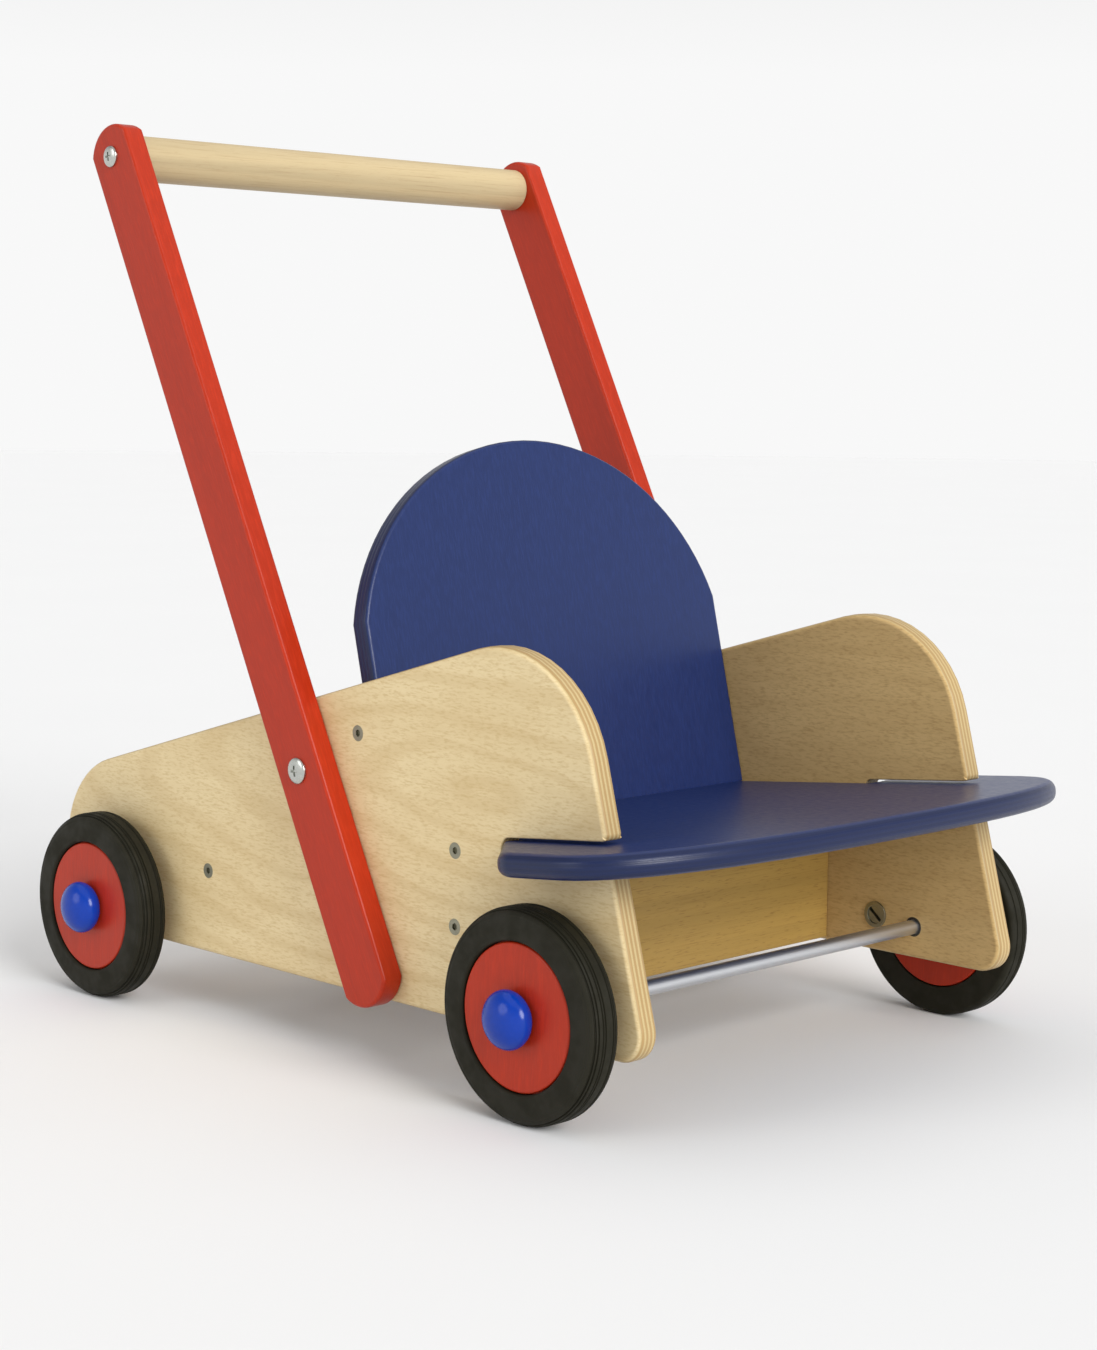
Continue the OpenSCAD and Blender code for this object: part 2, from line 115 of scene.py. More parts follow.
# Holes in the plates: a hole whose one mouth is wider than the other by this much is countersunk
HOLE_SIDES = 40
WIDER_MOUTH = 1.2
COUNTERSINK_DEPTH = 2.6 * MM
POCKET_DEPTH = 8 * MM

# Plywood
PLY = 12 * MM
VENEERS = 9

# How far below a face the look of the board's edge begins, and where it is whole
EDGE_LOOK_FROM = 0.5 * MM
EDGE_LOOK_WHOLE = 1.2 * MM

# The slot for the seat's ear: where it begins, and its lowest and highest place above the seat's top
EAR_FROM = cad_high.x * 0.4
SLOT_BELOW = -1.1 * PLY
SLOT_ABOVE = 0.2 * PLY

# The backrest's outline within FOOT_BAND of its lowest point moves down by FOOT_LENGTHENED, before the
# board is cut along the seat
FOOT_BAND = PLY / 4
FOOT_LENGTHENED = 2 * PLY

# The oval figure in the birch: its middle, the size of one ring, and how far the rings wander
FIGURE_X = cad_high.x * 0.42
FIGURE_Z = cad_high.z * 0.31
FIGURE_LENGTH = 66 * MM
FIGURE_HEIGHT = 17 * MM
FIGURE_WANDER = 2.2

# Wheels
LATHE_STEPS = 128
SMALL_LATHE_STEPS = 48
TYRE_BORE = 36.6 * MM
DISC_BORE = 4.1 * MM
TONGUE = 3 * MM
TONGUE_AT = 4.5 * MM
INNER_SHOULDER = 3 * MM
OUTER_SHOULDER = 6.5 * MM
TREAD_STEP = 0.16 * MM
GROOVES_AT = [3.5 * MM, 10 * MM, 14.2 * MM]
GROOVE_PAIR = 0.75 * MM
GROOVE_HALF = 0.5 * MM
GROOVE_DEPTH = 0.8 * MM
GROOVE_STEEPNESS = 1.6
LIP_AT = 16.9 * MM
LIP_DEPTH = 0.35 * MM
LIP_HALF = 0.45 * MM
LIP_START = 0.5
LIP_END = 3.5
BEAD_ROUND = 1.4 * MM
DISC_INNER_ROUND = 0.8 * MM
DISC_OUTER_ROUND = 1.3 * MM

# Hub caps: how much of the height lies above the widest place, and how far the foot's edge is drawn in
CAP_BULGE = 0.625
CAP_RIM = 0.5 * MM
CAP_STEPS = 40

# The room: how bright its walls are low down and high up, and the heights between which that changes
ROOM_LOW = 0.94
ROOM_HIGH = 0.35
FADE_FROM = 0.12
FADE_TO = 0.6
FLOOR_RADIUS = 12
FLOOR_SHADE = (0.83, 0.83, 0.83, 1)
FLOOR_PALE = (0.835, 0.835, 0.835, 1)

# Window light: how wide each light looks from the walker, in degrees
WINDOW_SPREAD = 30
CEILING_SPREAD = 90

# The camera: its place, its yaw, pitch and roll in degrees, and its lens
CAMERA_AT = Vector((1.0001, -0.9830, 0.3471))
CAMERA_TURN = (-45.442, -6.436, 0.546)
CAMERA_LENS = 67.98
CAMERA_SENSOR = 36


# ---- Meshes ----

def welded(node):
    """The CAD node's mesh as a bmesh whose split corners are joined."""
    bm = bmesh.new()
    bm.from_mesh(NODES[node].data)
    bmesh.ops.remove_doubles(bm, verts=bm.verts, dist=WELD)
    bm.normal_update()
    return bm


def smooth_object(name, bm, sharp=35):
    """Turns a bmesh into an object with smooth shading that breaks at edges sharper than that angle."""
    bmesh.ops.recalc_face_normals(bm, faces=bm.faces)
    mesh = bpy.data.meshes.new(name)
    bm.to_mesh(mesh)
    bm.free()
    mesh.shade_smooth()
    mesh.set_sharp_from_angle(angle=math.radians(sharp))
    made = bpy.data.objects.new(name, mesh)
    bpy.context.scene.collection.objects.link(made)
    weighted = made.modifiers.new("even_shading", "WEIGHTED_NORMAL")
    weighted.keep_sharp = True
    weighted.weight = 80
    return made


def unit_turn(angle):
    return Vector((math.cos(angle), math.sin(angle)))


def rounded(corners):
    """Points through corners (a, b, radius), each turned by an arc of its radius."""
    points = []
    count = len(corners)
    for i, (a, b, radius) in enumerate(corners):
        tip = Vector((a, b))
        if radius == 0:
            points.append(tip)
            continue
        before = (Vector(corners[i - 1][:2]) - tip).normalized()
        after = (Vector(corners[(i + 1) % count][:2]) - tip).normalized()
        half = before.angle(after) / 2
        centre = tip + (before + after).normalized() * radius / math.sin(half)
        start = tip + before * radius / math.tan(half) - centre
        end = tip + after * radius / math.tan(half) - centre
        sense = math.copysign(math.pi - 2 * half, start.x * end.y - start.y * end.x)
        steps = max(3, round(math.degrees(math.pi - 2 * half) / ARC_STEP))
        for k in range(steps + 1):
            turn = unit_turn(sense * k / steps)
            spoke = Vector((start.x * turn.x - start.y * turn.y, start.x * turn.y + start.y * turn.x))
            points.append(centre + spoke)
    return points


# ---- Plates: panels, seat, backrest and arms ----

def face_normal(bm, facing):
    """Normal of the largest face that looks roughly that way."""
    ahead = [face for face in bm.faces if face.normal.dot(facing) > 0.9]
    return max(ahead, key=lambda face: face.calc_area()).normal.copy()


def plane_axes(normal):
    """Two directions in the plate's plane that make a right-handed set with its normal."""
    up = X if abs(normal.z) > 0.9 else Z
    across = up.cross(normal).normalized()
    return across, normal.cross(across)


def cap_loops(bm, normal, level):
    """Closed loops of points round the flat face at that level along the normal."""
    cap = set()
    for face in bm.faces:
        flat = abs(face.normal.dot(normal)) > 0.99
        if flat and abs(face.calc_center_median().dot(normal) - level) < WELD * 2:
            cap.add(face)
    following = {}
    for face in bm.faces:
        if face not in cap:
            continue
        for corner in face.loops:
            if corner.link_loop_radial_next.face not in cap:
                following[corner.vert] = corner.link_loop_next.vert
    loops = []
    while following:
        vert = next(iter(following))
        points = []
        while vert in following:
            points.append(vert.co.copy())
            vert = following.pop(vert)
        loops.append(points)
    return loops


def area_of(points):
    """Signed area inside a closed outline."""
    total = 0
    for a, b in zip(points, points[1:] + points[:1]):
        total += a.x * b.y - b.x * a.y
    return total / 2


def subdivided(points):
    """The outline with its long sides cut into shorter ones."""
    finer = []
    for a, b in zip(points, points[1:] + points[:1]):
        parts = max(1, math.ceil((b - a).length / LONGEST_SIDE))
        finer += [a.lerp(b, k / parts) for k in range(parts)]
    return finer


def inset_moves(points, radius):
    """How each outline point moves inwards for an edge of that radius, less inside tighter corners."""
    count = len(points)
    moves = []
    room = []
    for i in range(count):
        before = points[i] - points[i - 1]
        after = points[(i + 1) % count] - points[i]
        turn = -before.angle_signed(after, 0)
        shorter = min(before.length, after.length)
        room.append(shorter / turn * ROOM_IN_CORNER if turn > 0.02 and shorter < MM else 1)
        left = Vector((-before.y, before.x)).normalized()
        next_left = Vector((-after.y, after.x)).normalized()
        moves.append((left + next_left) / (1 + left.dot(next_left)))
    nearest = [min(room[i - 1], room[i], room[(i + 1) % count]) for i in range(count)]
    return [move * min(radius, limit) for move, limit in zip(moves, nearest)]


def circle_of(points):
    """Centre and radius of a round loop."""
    low = Vector((min(p.x for p in points), min(p.y for p in points)))
    high = Vector((max(p.x for p in points), max(p.y for p in points)))
    return (low + high) / 2, (high - low).length / math.sqrt(8)


def hole_profiles(near_holes, far_holes, low, high):
    """For each hole, its centre and the (level, radius) steps down from the face it opens in."""
    found = []
    left = list(far_holes)
    for centre, radius in near_holes:
        same = [h for h in left if (h[0] - centre).length < MM / 2]
        if not same:
            found.append((centre, [(high, radius), (high - POCKET_DEPTH, radius)], "near"))
            continue
        left.remove(same[0])
        other = same[0][1]
        steps = [(high, radius)]
        if radius > other * WIDER_MOUTH:
            steps.append((high - COUNTERSINK_DEPTH, other))
        if other > radius * WIDER_MOUTH:
            steps.append((low + COUNTERSINK_DEPTH, radius))
        found.append((centre, steps + [(low, other)], "through"))
    for centre, radius in left:
        found.append((centre, [(low, radius), (low + POCKET_DEPTH, radius)], "far"))
    return found


class Plate:
    """A flat board read from a CAD node: its outline, its two faces and its holes."""

    def __init__(self, node, facing):
        bm = welded(node)
        self.normal = face_normal(bm, facing)
        self.across, self.upward = plane_axes(self.normal)
        levels = [v.co.dot(self.normal) for v in bm.verts]
        self.low = min(levels)
        self.high = max(levels)
        near = sorted(self.flat_loops(bm, self.high), key=lambda p: -abs(area_of(p)))
        far = sorted(self.flat_loops(bm, self.low), key=lambda p: -abs(area_of(p)))
        bm.free()
        self.outline = near[0] if area_of(near[0]) > 0 else near[0][::-1]
        self.holes = hole_profiles(
            [circle_of(p) for p in near[1:]], [circle_of(p) for p in far[1:]], self.low, self.high
        )

    def flat_loops(self, bm, level):
        loops = cap_loops(bm, self.normal, level)
        return [[Vector((p.dot(self.across), p.dot(self.upward))) for p in loop] for loop in loops]

    def point(self, flat, level):
        return self.across * flat.x + self.upward * flat.y + self.normal * level


def quads(bm, ring, other):
    """Joins two closed rings of corners with faces."""
    for k in range(len(ring)):
        n = (k + 1) % len(ring)
        bm.faces.new((ring[k], ring[n], other[n], other[k]))


def edge_rings(bm, plate, radius, keep_sharp):
    """Rings of corners up the plate's rounded edge, from its far face to its near face."""
    points = subdivided(plate.outline)
    moves = inset_moves(points, radius)
    sizes = [1] * len(points)
    for i, p in enumerate(points):
        if keep_sharp and keep_sharp(plate.point(p, plate.high)):
            sizes[i] = SLOT_EDGE / radius
    turns = [k / EDGE_STEPS * math.pi / 2 for k in range(EDGE_STEPS + 1)]
    steps = [(1 - math.sin(a), plate.low, radius * (1 - math.cos(a))) for a in turns]
    steps += [(1 - math.sin(a), plate.high, radius * (math.cos(a) - 1)) for a in turns[::-1]]
    rings = []
    for inset, face, rise in steps:
        ring = []
        for p, move, size in zip(points, moves, sizes):
            ring.append(bm.verts.new(plate.point(p + move * inset * size, face + rise * size)))
        rings.append(ring)
    return rings


def drill(bm, plate, centre, steps):
    """Rings of corners down a hole, joined into its wall."""
    rings = []
    for level, radius in steps:
        ring = []
        for k in range(HOLE_SIDES):
            flat = centre + unit_turn(2 * math.pi * k / HOLE_SIDES) * radius
            ring.append(bm.verts.new(plate.point(flat, level)))
        rings.append(ring)
    for ring, other in zip(rings, rings[1:]):
        quads(bm, ring, other)
    return rings


def close_face(bm, plate, rim, holes):
    """Fills one face of the plate between its rim and the mouths of its holes."""
    loops = [rim] + holes
    flat = []
    for loop in loops:
        flat.append([Vector((v.co.dot(plate.across), v.co.dot(plate.upward), 0)) for v in loop])
    corners = [v for loop in loops for v in loop]
    for triangle in tessellate_polygon(flat):
        bm.faces.new([corners[i] for i in triangle])


def plate_bmesh(plate, radius, keep_sharp=None):
    """The plate as a closed mesh with rounded edges and its holes; some stretches may stay sharp."""
    bm = bmesh.new()
    rings = edge_rings(bm, plate, radius, keep_sharp)
    for ring, other in zip(rings, rings[1:]):
        quads(bm, ring, other)
    near_mouths = []
    far_mouths = []
    for centre, steps, kind in plate.holes:
        walls = drill(bm, plate, centre, steps)
        if kind == "through":
            near_mouths.append(walls[0])
            far_mouths.append(walls[-1])
            continue
        bm.faces.new(walls[-1])
        mouths = near_mouths if kind == "near" else far_mouths
        mouths.append(walls[0])
    close_face(bm, plate, rings[-1], near_mouths)
    close_face(bm, plate, rings[0], far_mouths)
    return bm


def side_panel(side, seat):
    """A panel whose edges are rounded except in the slot that holds the seat's ear."""
    plate = Plate(f"side_panel_{side}", OUTWARD[side])

    def in_slot(point):
        over_seat = point.dot(seat.normal) - seat.high
        return point.x > EAR_FROM and SLOT_BELOW < over_seat < SLOT_ABOVE

    made = smooth_object(f"side_panel_{side}_look", plate_bmesh(plate, PANEL_EDGE, in_slot))
    stand_for(made, f"side_panel_{side}", birch_ply(f"birch_ply_{side}", plate))


def seat_board(plate):
    made = smooth_object("seat_board_look", plate_bmesh(plate, SEAT_EDGE))
    stand_for(made, "seat_board", lacquered_ply("blue_seat", plate, BLUE, X))


def backrest(seat):
    """The arched board, cut off along the top of the seat that it stands on."""
    plate = Plate("backrest", X)
    foot = min(p.y for p in plate.outline)
    below = Vector((0, -FOOT_LENGTHENED))
    plate.outline = [p + below if p.y < foot + FOOT_BAND else p for p in plate.outline]
    plate.holes = []
    bm = plate_bmesh(plate, BACKREST_EDGE)
    bmesh.ops.bisect_plane(
        bm, geom=bm.verts[:] + bm.edges[:] + bm.faces[:],
        plane_co=seat.normal * seat.high, plane_no=seat.normal, clear_inner=True
    )
    bmesh.ops.holes_fill(bm, edges=[e for e in bm.edges if e.is_boundary])
    made = smooth_object("backrest_look", bm)
    stand_for(made, "backrest", lacquered_ply("blue_backrest", plate, BLUE, plate.upward))


def handle_arm(side):
    plate = Plate(f"handle_arm_{side}", OUTWARD[side])
    sides = zip(plate.outline, plate.outline[1:] + plate.outline[:1])
    longest = max((b - a for a, b in sides), key=lambda side: side.length)
    along = (plate.across * longest.x + plate.upward * longest.y).normalized()
    made = smooth_object(f"handle_arm_{side}_look", plate_bmesh(plate, ARM_EDGE))
    stand_for(made, f"handle_arm_{side}", lacquered_wood(f"red_arm_{side}", RED, along))


# ---- Boards and fasteners ----

def softened(node, width, hull=False):
    """A copy of the node's solids with sharp edges eased by at most that width."""
    bm = welded(node)
    if hull:
        made = bmesh.ops.convex_hull(bm, input=bm.verts)
        inside = [v for v in made["geom_interior"] + made["geom_unused"] if v.is_valid]
        bmesh.ops.delete(bm, geom=inside, context="VERTS")
        loose = [f for f in bm.faces if f not in set(made["geom"])]
        bmesh.ops.delete(bm, geom=loose, context="FACES_ONLY")
    bmesh.ops.dissolve_limit(bm, angle_limit=FLAT_EDGE, verts=bm.verts, edges=bm.edges)
    sharp = [e for e in bm.edges if e.is_manifold and e.calc_face_angle() > SHARP_EDGE]
    bmesh.ops.bevel(
        bm, geom=sharp, offset=width, segments=EASE_STEPS, profile=0.5,
        affect="EDGES", clamp_overlap=True
    )
    return smooth_object(f"{node}_look", bm)


def cross_board(place):
    node = f"{place}_cross_board"
    # The boards' beech is darker than the bar's as painted shade from the seat above
    stand_for(softened(node, BOARD_EDGE, hull=True), node, beech("beech_board_painted_shade", SHADED_BOARD_BEECH, 0.5))


def handle_bar():
    low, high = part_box("handle_bar")
    radius = (high.x - low.x) / 2
    length = high.y - low.y
    middle = (low + high) / 2
    profile = rounded([
        (0, 0, 0),
        (radius, 0, BAR_EDGE),
        (radius, length, BAR_EDGE),
        (0, length, 0),
    ])
    start = Vector((middle.x, low.y, middle.z))
    bm = bmesh.new()
    revolve(bm, start, Y, profile, SMALL_LATHE_STEPS * 2, closed=False)
    stand_for(smooth_object("handle_bar_look", bm), "handle_bar", beech("beech_bar", BAR_BEECH, 0.12))


def fasteners():
    """Screws, bolts, nuts, inserts and bushes, with their edges eased."""
    # Panel screws, foot screws, tee nuts and inserts take the zinc darkened as painted shade
    for node in ["panel_screws", "backrest_foot_screws"]:
        stand_for(softened(node, SMALL_SCREW_EASE), node, shaded_screw_zinc)
    for node in ["handle_end_screws", "arm_bolts"]:
        stand_for(softened(node, FASTENER_EASE), node, zinc)
    for node in ["arm_tee_nuts", "brake_inserts"]:
        stand_for(softened(node, FASTENER_EASE), node, shaded_screw_zinc)
    stand_for(softened("axle_bushes", BUSH_EASE), "axle_bushes", nylon)
    for end in ["front", "rear"]:
        node = f"{end}_axle_spacers"
        stand_for(softened(node, SPACER_EASE), node, nylon)


def brakes():
    for side in OUTWARD:
        screw = f"brake_screw_{side}"
        pad = f"brake_pad_{side}"
        # The brake screw takes the zinc darkened as painted shade
        stand_for(softened(screw, FASTENER_EASE), screw, shaded_screw_zinc)
        stand_for(softened(pad, PAD_EASE), pad, felt)


# ---- Turned pieces ----

def revolve(bm, start, outward, profile, steps, closed):
    """Turns (radius, distance) points about the line from start along outward."""
    rings = []
    side = outward.cross(Z)
    for radius, out in profile:
        middle = start + outward * out
        if radius < WELD:
            rings.append([bm.verts.new(middle)])
            continue
        ring = []
        for k in range(steps):
            turn = unit_turn(2 * math.pi * k / steps)
            ring.append(bm.verts.new(middle + (side * turn.x + Z * turn.y) * radius))
        rings.append(ring)
    pairs = list(zip(rings, rings[1:]))
    if closed:
        pairs.append((rings[-1], rings[0]))
    for ring, other in pairs:
        if len(ring) == len(other):
            quads(bm, ring, other)
            continue
        tip, fan = (ring[0], other) if len(ring) == 1 else (other[0], ring)
        for k in range(steps):
            bm.faces.new((tip, fan[k], fan[(k + 1) % steps]))


def lathe_start(node, side):
    """Where a turned node's axis meets its inner face, its radius and its length."""
    low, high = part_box(node)
    outward = OUTWARD[side]
    middle = (low + high) / 2
    length = high.y - low.y
    start = middle - outward * length / 2
    return start, outward, (high.x - low.x) / 2, length


def tread_point(at, radius, width):
    """A point and its inward direction on the tyre's tread and outer shoulder, by distance along it."""
    flat = width - OUTER_SHOULDER
    if at <= flat:
        return Vector((radius, at)), Vector((-1, 0))
    angle = (at - flat) / OUTER_SHOULDER
    outwards = Vector((math.cos(angle), math.sin(angle)))
    centre = Vector((radius - OUTER_SHOULDER, width - OUTER_SHOULDER))
    return centre + outwards * OUTER_SHOULDER, -outwards


def groove_cut(at, radius, width):
    """How deep the tread is cut at that distance along it."""
    point, inwards = tread_point(at, radius, width)
    cut = 0
    for groove in GROOVES_AT:
        aside = abs(abs(point.y - groove) - GROOVE_PAIR)
        cut = max(cut, GROOVE_DEPTH * smooth_step(GROOVE_STEEPNESS * (1 - aside / GROOVE_HALF)))
    past_lip = (point.y - LIP_AT) / LIP_HALF
    cut = max(cut, LIP_DEPTH * smooth_step(past_lip + LIP_START) * smooth_step(LIP_END - past_lip))
    return point + inwards * cut


def smooth_step(x):
    x = min(1, max(0, x))
    return x * x * (3 - 2 * x)


def tyre(place):
    node = f"tyre_{place}"
    start, outward, radius, width = lathe_start(node, place.split("_")[1])
    length = width - OUTER_SHOULDER + OUTER_SHOULDER * math.pi / 2
    first = INNER_SHOULDER
    count = round((length - first) / TREAD_STEP)
    tread = [groove_cut(first + (length - first) * k / count, radius, width) for k in range(count + 1)]
    bead = rounded([
        (radius - OUTER_SHOULDER, width, 0),
        (TYRE_BORE, width, BEAD_ROUND),
        (TYRE_BORE, width - TONGUE_AT, 0),
        (TYRE_BORE + TONGUE, width - TONGUE_AT, 0),
        (TYRE_BORE + TONGUE, TONGUE_AT, 0),
        (TYRE_BORE, TONGUE_AT, 0),
        (TYRE_BORE, 0, BEAD_ROUND / 2),
        (radius, 0, INNER_SHOULDER),
        (radius, first, 0),
    ])
    bm = bmesh.new()
    revolve(bm, start, outward, [*tread, *bead[1:-1]], LATHE_STEPS, closed=True)
    stand_for(smooth_object(f"{node}_look", bm, sharp=60), node, rubber)


def wheel_disc(place):
    node = f"wheel_disc_{place}"
    start, outward, tongue, width = lathe_start(node, place.split("_")[1])
    radius = tongue - TONGUE
    tyre_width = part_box(f"tyre_{place}")
    thick = tyre_width[1].y - tyre_width[0].y - TONGUE_AT
    bm = bmesh.new()
    profile = rounded([
        (DISC_BORE, 0, 0),
        (radius, 0, DISC_INNER_ROUND),
        (radius, TONGUE_AT, 0),
        (tongue, TONGUE_AT, 0),
        (tongue, thick, 0),
        (radius, thick, 0),
        (radius, width, DISC_OUTER_ROUND),
        (DISC_BORE, width, 0),
    ])
    revolve(bm, start, outward, profile, LATHE_STEPS, closed=True)
    stand_for(smooth_object(f"{node}_look", bm), node, red_disc)


def hub_cap(place):
    """A flattened ball with a small flat at its foot."""
    node = f"hub_cap_{place}"
    start, outward, radius, height = lathe_start(node, place.split("_")[1])
    half = height * CAP_BULGE
    middle = height - half
    foot = math.asin(-middle / half)
    profile = [(0, 0), (radius * math.cos(foot) - CAP_RIM, 0)]
    for k in range(1, CAP_STEPS + 1):
        angle = foot + (math.pi / 2 - foot) * k / CAP_STEPS
        profile.append((radius * math.cos(angle), middle + half * math.sin(angle)))
    bm = bmesh.new()
    revolve(bm, start, outward, profile, SMALL_LATHE_STEPS * 2, closed=False)
    stand_for(smooth_object(f"{node}_look", bm), node, cap_plastic)


def axle(end):
    node = f"{end}_axle"
    start, outward, radius, length = lathe_start(node, "left")
    profile = [
        (0, 0), (radius - AXLE_CHAMFER, 0), (radius, AXLE_CHAMFER),
        (radius, length - AXLE_CHAMFER), (radius - AXLE_CHAMFER, length), (0, length),
    ]
    bm = bmesh.new()
    revolve(bm, start, outward, profile, SMALL_LATHE_STEPS, closed=False)
    stand_for(smooth_object(f"{node}_look", bm), node, drawn_steel)


# ---- Materials ----

def srgb(red, green, blue):
    """A linear colour from the 0 to 255 values that a screen shows."""
    shown = [c / 255 for c in (red, green, blue)]
    linear = [c / 12.92 if c <= 0.04045 else ((c + 0.055) / 1.055) ** 2.4 for c in shown]
    return (*linear, 1)


def shade(colour, factor):
    return (*[min(1, c * factor) for c in colour[:3]], 1)


BIRCH = srgb(225, 205, 160)
# Painted shade: the panels' inner faces are coloured darker and more orange, and their grain darker still
BIRCH_SHADED_BACK = srgb(212, 180, 122)
BIRCH_DARK = srgb(192, 162, 108)
BIRCH_SHADED_BACK_GRAIN = srgb(166, 130, 76)
VENEER_PALE = srgb(196, 174, 126)
VENEER_BROWN = srgb(170, 140, 92)
VENEER_GLUE = srgb(140, 108, 66)
BAR_BEECH = srgb(196, 176, 136)
# Painted shade: the cross boards under the seat get a darker, more yellow-brown beech than the bar
SHADED_BOARD_BEECH = srgb(188, 152, 80)
BEECH_FLECK = srgb(132, 94, 50)
BLUE = srgb(21, 39, 87)
RED = srgb(170, 42, 10)
CAP_BLUE = srgb(6, 54, 156)
RUBBER = srgb(29, 27, 14)
STEEL = srgb(214, 216, 220)
ZINC = srgb(196, 198, 192)
# Painted shade: the zinc of the screws, nuts, inserts and brake screws is darkened, standing for the dark
# surroundings it reflects
DULL_ZINC_PAINTED_SHADE = srgb(148, 146, 128)
NYLON = srgb(52, 48, 42)
FELT = srgb(120, 114, 104)


class Paint:
    """Adds shader nodes to one material and returns their output sockets."""

    def __init__(self, name):
        self.material = bpy.data.materials.new(name)
        self.material.use_nodes = True
        self.tree = self.material.node_tree
        self.shader = self.tree.nodes["Principled BSDF"]
        self.place = self.add("ShaderNodeTexCoord").outputs["Object"]

    def add(self, kind, sockets=None, **settings):
        made = self.tree.nodes.new(kind)
        for key, value in settings.items():
            setattr(made, key, value)
        for key, value in (sockets or {}).items():
            self.put(made.inputs[key], value)
        return made

    def put(self, socket, value):
        if isinstance(value, bpy.types.NodeSocket):
            self.tree.links.new(value, socket)
        else:
            socket.default_value = value

    def sum(self, operation, *values):
        made = self.add("ShaderNodeMath", operation=operation)
        for socket, value in zip(made.inputs, values):
            self.put(socket, value)
        return made.outputs[0]

    def along(self, direction):
        """Distance along a fixed direction."""
        made = self.add("ShaderNodeVectorMath", {0: self.place, 1: direction}, operation="DOT_PRODUCT")
        return made.outputs["Value"]

    def grain_place(self, along, scale_along, scale_across):
        """Texture coordinates that stretch along the grain."""
        first, second = plane_axes(along)
        joined = self.add("ShaderNodeCombineXYZ", {
            0: self.sum("MULTIPLY", self.along(first), scale_across),
            1: self.sum("MULTIPLY", self.along(second), scale_across),
            2: self.sum("MULTIPLY", self.along(along), scale_along),
        })
        return joined.outputs[0]

    def noise(self, place, scale, detail=3, rough=0.55, distortion=0):
        made = self.add("ShaderNodeTexNoise", {
            "Vector": place, "Scale": scale, "Detail": detail,
            "Roughness": rough, "Distortion": distortion,
        })
        return made.outputs["Fac"]

    def range(self, value, low, high, out_low=0.0, out_high=1.0):
        made = self.add("ShaderNodeMapRange", {
            "Value": value, "From Min": low, "From Max": high,
            "To Min": out_low, "To Max": out_high,
        }, interpolation_type="SMOOTHSTEP")
        return made.outputs[0]

    def mix(self, factor, first, second):
        made = self.add("ShaderNodeMix", data_type="RGBA", blend_type="MIX")
        ends = [socket for socket in made.inputs if socket.type == "RGBA"]
        self.put(made.inputs[0], factor)
        self.put(ends[0], first)
        self.put(ends[1], second)
        return next(socket for socket in made.outputs if socket.type == "RGBA")

    def bump(self, height, distance, strength=1.0):
        made = self.add("ShaderNodeBump", {
            "Height": height, "Distance": distance, "Strength": strength,
        })
        self.put(self.shader.inputs["Normal"], made.outputs[0])

    def finish(self, **values):
        for key, value in values.items():
            self.put(self.shader.inputs[key.replace("_", " ")], value)
        return self.material


def veneer_depth(paint, plate):
    """Depth below the plate's near face."""
    return paint.sum("SUBTRACT", plate.high, paint.along(plate.normal))


def veneer_wave(paint, plate):
    """A wave, 1 in the middle of one veneer and -1 in the next, and a mask for the board's edge."""
    depth = veneer_depth(paint, plate)
    pair = 2 * PLY / VENEERS
    turn = paint.sum("MULTIPLY", paint.sum("SUBTRACT", depth, pair / 4), 2 * math.pi / pair)
    wave = paint.sum("COSINE", turn)
    nearest = paint.sum("MINIMUM", depth, paint.sum("SUBTRACT", PLY, depth))
    edge = paint.range(nearest, EDGE_LOOK_FROM, EDGE_LOOK_WHOLE)
    return wave, edge


def birch_figure(paint):
    """Dark contours round one long oval near the front of the face, as rotary cutting leaves them."""
    aside = paint.sum("DIVIDE", paint.sum("SUBTRACT", paint.along(X), FIGURE_X), FIGURE_LENGTH)
    above = paint.sum("DIVIDE", paint.sum("SUBTRACT", paint.along(Z), FIGURE_Z), FIGURE_HEIGHT)
    squares = paint.sum("ADD", paint.sum("POWER", aside, 2), paint.sum("POWER", above, 2))
    wander = paint.noise(paint.grain_place(X, 6, 14), 1, detail=2, distortion=0.2)
    far = paint.sum("ADD", paint.sum("SQRT", squares), paint.sum("MULTIPLY", wander, FIGURE_WANDER))
    rings = paint.sum("SINE", paint.sum("MULTIPLY", far, 2 * math.pi))
    return paint.range(rings, 0.0, 1.0)


